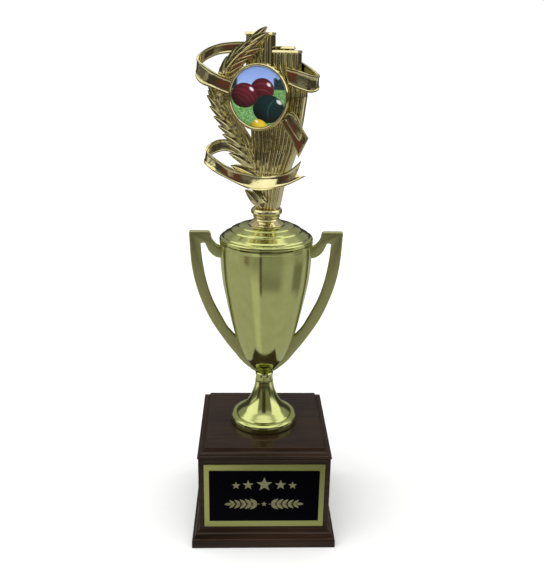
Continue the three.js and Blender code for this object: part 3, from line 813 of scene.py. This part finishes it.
def reeded(count, low, high, inset, foot=2.6):
    """A bundle of half-round reeds that follows the body, rounded off at its foot and flat at its head."""
    per, depth = 10, 0.44
    rows = 44
    heights = [low + foot * (1 - math.cos(a)) for a in np.linspace(0, math.pi / 2, 6)]
    heights += list(np.linspace(low + foot, high, rows)[1:])
    rings = []
    for z in heights:
        left, right, front, back = level(z)
        left, right, front, back = left + inset, right - inset, front + inset, back - inset
        step = (right - left) / count
        start = min(1.0, max(0.0, (z - low) / foot))
        pull = step * 0.5 * (1 - math.sqrt(max(0.0, 1 - (1 - start) ** 2)))
        ring = []
        for sign, y, xs in ((1, front, range(count * per + 1)), (-1, back, range(count * per, -1, -1))):
            for i in xs:
                f = (i % per) / per
                round_in = 1 - math.sqrt(max(0.0, 1 - (2 * f - 1) ** 2))
                corner = abs(2 * i / (count * per) - 1) ** 10 * 2.6
                ring.append((left + step * i / per, y + sign * (corner + step * depth * round_in + pull), z))
        rings.append(ring)
    return loft(rings)


def pipe(t, low, high, r, proud=0.4):
    """A round rod on the body's front, pointed at the foot and rounded at the head."""
    path, radii = [], []
    for s in np.linspace(0, 1, 20):
        z = low + (high - low) * s
        left, right, front, _ = level(z)
        path.append((left + (right - left) * t, front + proud, z))
        radii.append(r * min(1.0, 0.12 + 4.5 * s, 0.05 + 2.5 * (1 - s)))
    turns = np.linspace(0, 2 * math.pi, 14, endpoint=False)
    rings = []
    for (x, y, z), q in zip(path, radii):
        rings.append([(x + q * math.cos(a), y + q * math.sin(a), z) for a in turns])
    return loft(rings)


def block(x0, x1, y0, y1, z0, z1, reeds, relief=0.4):
    """A block with a reeded front, a neck and a plain cap."""
    per = 8

    def ring(z, grow, depth):
        out = []
        for i in range(reeds * per + 1):
            f = (i % per) / per
            x = x0 - grow + (x1 - x0 + 2 * grow) * i / (reeds * per)
            out.append((x, y0 - grow + depth * (1 - math.sqrt(max(0.0, 1 - (2 * f - 1) ** 2))), z))
        return out + [(x1 + grow, y1 + grow, z), (x0 - grow, y1 + grow, z)]

    deep = (x1 - x0) / reeds * relief
    steps = [(z0, 0, deep), (z1 - 3.4, 0, deep), (z1 - 2.6, -0.2, deep * 0.3), (z1 - 2.2, -0.1, 0)]
    steps += [(z1 - 1.8, 0.5, 0), (z1 - 0.2, 0.1, 0), (z1, -0.1, 0)]
    return loft([ring(*step) for step in steps])


# The laurel's stem: up from the knot, out to the left, and back over the top
STEM = [
    (-5, -7.6, 352), (-18, -7.6, 378), (-41, -7.6, 408), (-44.5, -7.6, 421), (-34, -8, 446), (-7, -9, 470),
]
# Ranks of leaves along the stem: first and last foot as parts of its length, how many, then the turn
# from the stem's direction (degrees), length and width at the first and the last foot, and the back's y
RANKS = [
    (0.00, 0.50, 9, (46, 4), (28, 22), (8, 7), -9.4),  # outer, low
    (0.10, 0.54, 7, (32, 0), (22, 21), (7, 7), -8.6),  # between
    (0.06, 0.46, 6, (0, -20), (25, 20), (7, 7), -8.0),  # inner, low
    (0.58, 0.94, 6, (8, 4), (22, 21), (7, 7), -8.4),  # outer, high
    (0.62, 0.92, 6, (-14, -8), (24, 22), (7, 8), -9.4),  # inner, high
    (0.66, 0.84, 4, (-34, -24), (24, 24), (7, 7), -8.8),  # across the bundle
]
LEAF_THICK = 2.4
LEAF_REAR = -6.2  # the leaves are solid back to here, inside the backing
STAGGER = 0.15  # every other leaf lies this much further forwards
BEND_HEIGHT = 430  # leaves that start above this height bend the other way and stand out more
AHEAD = 0.02  # the stem's direction is taken over this part of its length


def laurel():
    """The laurel: long pointed leaves overlapping along a curved stem, over a thin backing."""
    curve = np.array(smooth(STEM, 24))
    backing = strip([(x + 3, z) for x, _, z in curve[14:-16:8]], 13, -7.2, -5.6, 0.4)
    parts = [backing, tube(STEM, 1.5, taper=0.6)]
    steps = np.linalg.norm(np.diff(curve, axis=0), axis=1)
    along = np.concatenate([[0], np.cumsum(steps)]) / steps.sum()
    for first, last, count, turns, lengths, widths, y in RANKS:
        for k in range(count):
            t = k / (count - 1)
            place = first + (last - first) * t
            x, z = np.interp(place, along, curve[:, 0]), np.interp(place, along, curve[:, 2])
            ahead_x = np.interp(place + AHEAD, along, curve[:, 0]) - x
            ahead_z = np.interp(place + AHEAD, along, curve[:, 2]) - z
            turn, length, width = (a + (b - a) * t for a, b in (turns, lengths, widths))
            bend, lift = (0.3, 0.8) if z < BEND_HEIGHT else (-0.2, 2.0)
            angle = math.atan2(ahead_z, ahead_x) + math.radians(turn) - bend / 2
            rear = y - STAGGER * (k % 2)
            parts.append(leaf((x, rear, z), angle, length, width, LEAF_THICK, bend, lift, LEAF_REAR - rear))
    return merged(parts)


# Each ribbon's upper and lower edge, from one end to the other
LEFT_RIBBON = (
    [
        (-12, 5.5, 466.5), (-33, 5.5, 466.5), (-50, 5, 464.5), (-62, 1, 459.5),
        (-66, -5, 453), (-59, -10, 448), (-44, -13, 440.5), (-26, -13, 434.5),
    ],
    [
        (-12, 5.5, 457), (-33, 5.5, 457), (-51, 5, 455), (-63, 0, 448.5),
        (-67, -6, 439.5), (-61, -11, 431.5), (-46, -13, 427), (-28, -13, 421.5),
    ],
)
RIGHT_RIBBON = (
    [
        (21, -13, 447), (33, -13, 444.5), (43, -11.5, 441.5), (47.5, -6.5, 440.5),
        (45, -1, 442.5), (34, 3.5, 448.5), (22, 4.5, 454.5),
    ],
    [
        (24.5, -13, 432.5), (34, -13, 429), (42.5, -11.5, 427), (47, -6.5, 428.5),
        (45, -1, 433), (34, 3.5, 438.5), (22, 4.5, 444),
    ],
)
LOWER_RIBBON = (
    [
        (-9, 5.5, 366.5), (-24, 8.5, 374), (-38, 9, 380), (-50, 7.5, 381),
        (-58, 3, 377.5), (-58.5, -4, 372), (-47, -10, 366), (-31, -13, 359.5),
        (-11.5, -11, 354.5), (6, -10, 353.5), (25, -12.5, 360.5), (37, -13, 370.5),
    ],
    [
        (-9, 6.5, 355.5), (-24, 8.5, 362.5), (-38, 9, 369), (-50, 7.5, 369.5),
        (-59, 2, 365), (-60, -6, 360.5), (-48, -13, 354.5), (-31.5, -12, 347.5),
        (-11.5, -14, 341.5), (6, -15, 342), (25, -12.5, 348), (42.5, -12, 357.5),
    ],
)
FOLD = [
    (16, 402), (20.5, 404.5), (21.5, 409), (28, 411), (32, 407), (37.5, 396.5), (42.5, 389.5),
    (34, 372.5), (31.5, 379), (26, 389.5),
]
FOLD_OVER = [(21, 404.5), (24.5, 409.5), (31, 406.5), (38.5, 394.5), (35, 386.5)]


def fold():
    """The ribbon's folded tail: a pointed band, a second band over it, and raised rims."""
    parts = [slab(FOLD, -12.2, -10.2, 0.4), slab(FOLD_OVER, -13.6, -11.8, 0.4)]
    left_edge = [(17.2, 402), (22.2, 395.6), (26.6, 389.8), (29.8, 384.4), (32.4, 379), (34, 374.6)]
    right_edge = [(34.9, 374.6), (38.2, 381.8), (41.4, 389), (38.4, 393.6)]
    parts += [strip(left_edge, 1.7, -13.0, -12.0), strip(right_edge, 1.5, -12.9, -12.0)]
    over_left = [(22.2, 404.2), (28.6, 396), (34.6, 388.2)]
    over_right = [(35.8, 388.6), (37.8, 394.4), (31, 405.6)]
    parts += [strip(over_left, 1.5, -14.3, -13.4), strip(over_right, 1.5, -14.3, -13.4)]
    return merged(parts)


def build_figure():
    gold = figure_material()

    def add(name, mesh, node, angle=32):
        return piece(name, mesh, gold, [node], angle, in_figure=True)

    piece("figure_pedestal", turned(FIGURE_BASE), gold, ["figure_base"])
    # the bundle's lower and upper reeds, then its blocks: left, right, front, back, foot, head and reeds
    upright = [
        reeded(12, 355.4, 441, 0.0),
        reeded(7, 322.8, 357.0, 0.7, 1.2),
        block(-20.4, -10.4, -4.2, 4, 424, 474.8, 2),
        block(-10.6, -2.6, -3.4, 2, 424, 466, 2),
        block(-3.4, 6.0, -8, 0.5, 424, 474.4, 2, 0.1),
        block(7.2, 29.8, -8.6, 1.2, 424, 460.4, 4, 0.3),
        block(3.4, 22.6, 1.6, 3.4, 424, 463.4, 3),
    ]
    for i in range(8):
        place = 0.125 + 0.083 * i + 0.083 * (i > 4)
        low, high = 357 + 2.5 * math.sin(i * 2.1), 388 + 5 * math.sin(i * 1.7)
        upright.append(pipe(place, low, high, 1.5))
    add("figure_reeds", merged(upright), "figure_body")
    add("figure_laurel", laurel(), "laurel_branch")
    neck_leaves = [
        leaf((-0.5, -9.4, 324.4), 2.3, 22.5, 9, 3.0, 0.2, 0.8, 2.8),
        leaf((4, -9.8, 328.5), 2.32, 18, 7.5, 2.8, 0.2, 0.8, 3.2),
    ]
    add("figure_neck_leaf", merged(neck_leaves), "neck_leaf")
    add("figure_ribbon_left", ribbon(*LEFT_RIBBON, 1.4), "ribbon_upper_left")
    add("figure_ribbon_right", ribbon(*RIGHT_RIBBON, 1.4), "ribbon_upper_right")
    add("figure_ribbon_lower", ribbon(*LOWER_RIBBON, 1.4, notch=0.055), "ribbon_lower")
    add("figure_ribbon_fold", fold(), "ribbon_fold")
    depth, r = HOLDER["depth"], HOLDER["r"]
    bezel = [
        (0, 0), (r - 0.6, 0), (r, 0.8), (r, depth - 1.2),
        (r - 0.9, depth), (r - 1.9, depth), (r - 2.3, depth - 0.6),
        (INSERT_R + 0.2, depth - 1.0), (INSERT_R + 0.1, 3.4), (0, 3.4),
    ]
    add("figure_bezel", facing(fillet(bezel, 0.5, 4)), "insert_holder")
    disc = [(0, 3.5), (INSERT_R - 0.3, 3.5), (INSERT_R, 3.7), (INSERT_R, 4.0), (INSERT_R - 0.4, 4.3)]
    for a in np.linspace(0.1, math.pi / 2, 10):
        disc.append((INSERT_R * math.cos(a) * 0.98, 4.3 + 0.35 * math.sin(a)))
    disc[-1] = (0, 4.65)
    piece("figure_insert", facing(disc), picture_material(), ["insert_picture"], in_figure=True)


# ---------------------------------------------------------------- hidden hardware keeps its CAD shape
def finish_cad_nodes():
    steel, bare = steel_material(), bare_wood_material()
    for name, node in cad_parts.items():
        if node.hide_render:
            continue
        material = bare if name.startswith("glue_block") else steel
        node.data.materials.clear()
        node.data.materials.append(material)


# ---------------------------------------------------------------- studio
def build_stage():
    floor = bpy.data.meshes.new("floor")
    size = 12.0
    corners = [(-size, -size, 0), (size, -size, 0), (size, size, 0), (-size, size, 0)]
    floor.from_pydata(corners, [], [(0, 1, 2, 3)])
    shader = Shader("pale_floor", Roughness=0.8, Specular_IOR_Level=0.0)
    shader.bsdf.inputs["Base Color"].default_value = (0.9, 0.9, 0.9, 1)
    floor.materials.append(shader.material)
    obj = bpy.data.objects.new("floor", floor)
    obj.visible_glossy = False
    bpy.context.scene.collection.objects.link(obj)


# What the metal sees: (from, to) in degrees from the front, (from, to) height of the direction,
# the softness of each, and the colour
PANELS = [
    ((-200, 200), (-0.27, 0.33), (1, 0.05), (0.15, 0.145, 0.13)),  # dim belt round the horizon
    ((-200, 200), (-0.16, 0.27), (1, 0.05), (0.05, 0.048, 0.043)),
    ((110, 250), (0.2, 0.62), (12, 0.08), (0.32, 0.32, 0.32)),  # back wall
    ((-250, -110), (0.2, 0.62), (12, 0.08), (0.32, 0.32, 0.32)),
    ((-38, 42), (-0.44, -0.2), (12, 0.05), (0.31, 0.31, 0.3)),  # far end of the table
    ((-38, 42), (-0.55, -0.43), (12, 0.04), (0.23, 0.23, 0.21)),
    ((-42, 52), (-0.05, 0.66), (8, 0.06), (0.2, 0.2, 0.18)),  # the room behind the camera
    ((-14, 13), (-0.05, 0.78), (5, 0.06), (0.05, 0.045, 0.035)),
    ((-56, -43), (-0.32, -0.03), (3, 0.04), (0.12, 0.045, 0.042)),  # reddish cloth
    ((-112, -64), (0.27, 0.8), (4, 0.05), (1.25, 1.25, 1.2)),  # left softbox
    ((-66, -44), (0.27, 0.8), (5, 0.04), (1.25, 1.25, 1.2)),
    ((-108, -70), (-0.27, 0.2), (4, 0.04), (0.9, 0.9, 0.86)),
    ((-108, -70), (-0.16, 0.14), (4, 0.05), (0.12, 0.12, 0.11)),
    ((54, 108), (0.2, 0.8), (4, 0.05), (1.25, 1.25, 1.2)),  # right softbox
    ((70, 104), (-0.27, 0.2), (4, 0.04), (0.9, 0.9, 0.86)),
    ((70, 104), (-0.16, 0.14), (4, 0.05), (0.12, 0.12, 0.11)),
    ((-41, -18), (-1.2, -0.42), (4, 0.1), (0.58, 0.58, 0.56)),  # bright sheet on the table
    ((-16.5, -11.5), (-0.6, 0.3), (1, 0.04), (0.06, 0.03, 0.02)),
    ((74, 106), (-0.52, -0.3), (6, 0.05), (0.2, 0.2, 0.18)),
]


def build_world():
    """The room as the metal sees it: grey walls, a dark belt, softboxes at both sides, a pale ceiling."""
    world = bpy.data.worlds.new("studio")
    bpy.context.scene.world = world
    world.use_nodes = True
    nodes = Nodes(world.node_tree)
    way = nodes.node("ShaderNodeTexCoord").outputs["Generated"]
    x, y, z = nodes.split(way)
    turn = nodes.times(nodes.math("ARCTAN2", x, nodes.times(y, -1)), 180 / math.pi)  # degrees from the front
    light = nodes.mix(nodes.levels(z, -0.1, 0.3), (0.44, 0.44, 0.43), (0.52, 0.52, 0.52))
    for turns, heights, soft, color in PANELS:
        mask = nodes.times(nodes.band(turn, *turns, soft[0]), nodes.band(z, *heights, soft[1]))
        light = nodes.mix(mask, light, color)
    light = nodes.mix(nodes.levels(z, 0.84, 0.9), light, (1.2, 1.2, 1.18))
    seen = nodes.node("ShaderNodeLightPath").outputs["Is Camera Ray"]
    light = nodes.mix(seen, light, (1.0, 1.0, 1.0))
    nodes.put(world.node_tree.nodes["Background"].inputs["Color"], light)


def build_lights():
    """A broad soft sun for the matt surfaces; the metal sees the studio instead."""
    data = bpy.data.lights.new("overhead", "SUN")
    data.energy = 2.0
    data.angle = math.radians(100)
    obj = bpy.data.objects.new("overhead", data)
    obj.visible_glossy = False
    obj.rotation_euler = (math.radians(24), math.radians(-14), 0)
    bpy.context.scene.collection.objects.link(obj)


def build_camera():
    """The photographer's place: in front and above, looking slightly to the right."""
    place = (-0.0157, -0.6427, 0.4666)
    pitch, yaw, roll = math.radians(19.28), math.radians(1.96), math.radians(0.99)
    ahead = Vector((math.sin(yaw) * math.cos(pitch), math.cos(yaw) * math.cos(pitch), -math.sin(pitch)))
    level_right = Vector((math.cos(yaw), -math.sin(yaw), 0))
    level_up = level_right.cross(ahead)
    right = level_right * math.cos(roll) + level_up * math.sin(roll)
    up = level_up * math.cos(roll) - level_right * math.sin(roll)
    data = bpy.data.cameras.new("camera")
    data.lens, data.sensor_width = 44.01, 36.0
    obj = bpy.data.objects.new("camera", data)
    bpy.context.scene.collection.objects.link(obj)
    turn = Matrix((right, up, -ahead)).transposed().to_4x4()
    obj.matrix_world = Matrix.Translation(place) @ turn
    bpy.context.scene.camera = obj


build_camera()
build_base()
build_plates()
build_cup()
build_figure()
finish_cad_nodes()
build_stage()
build_world()
build_lights()
bpy.context.scene.view_settings.view_transform = "Standard"
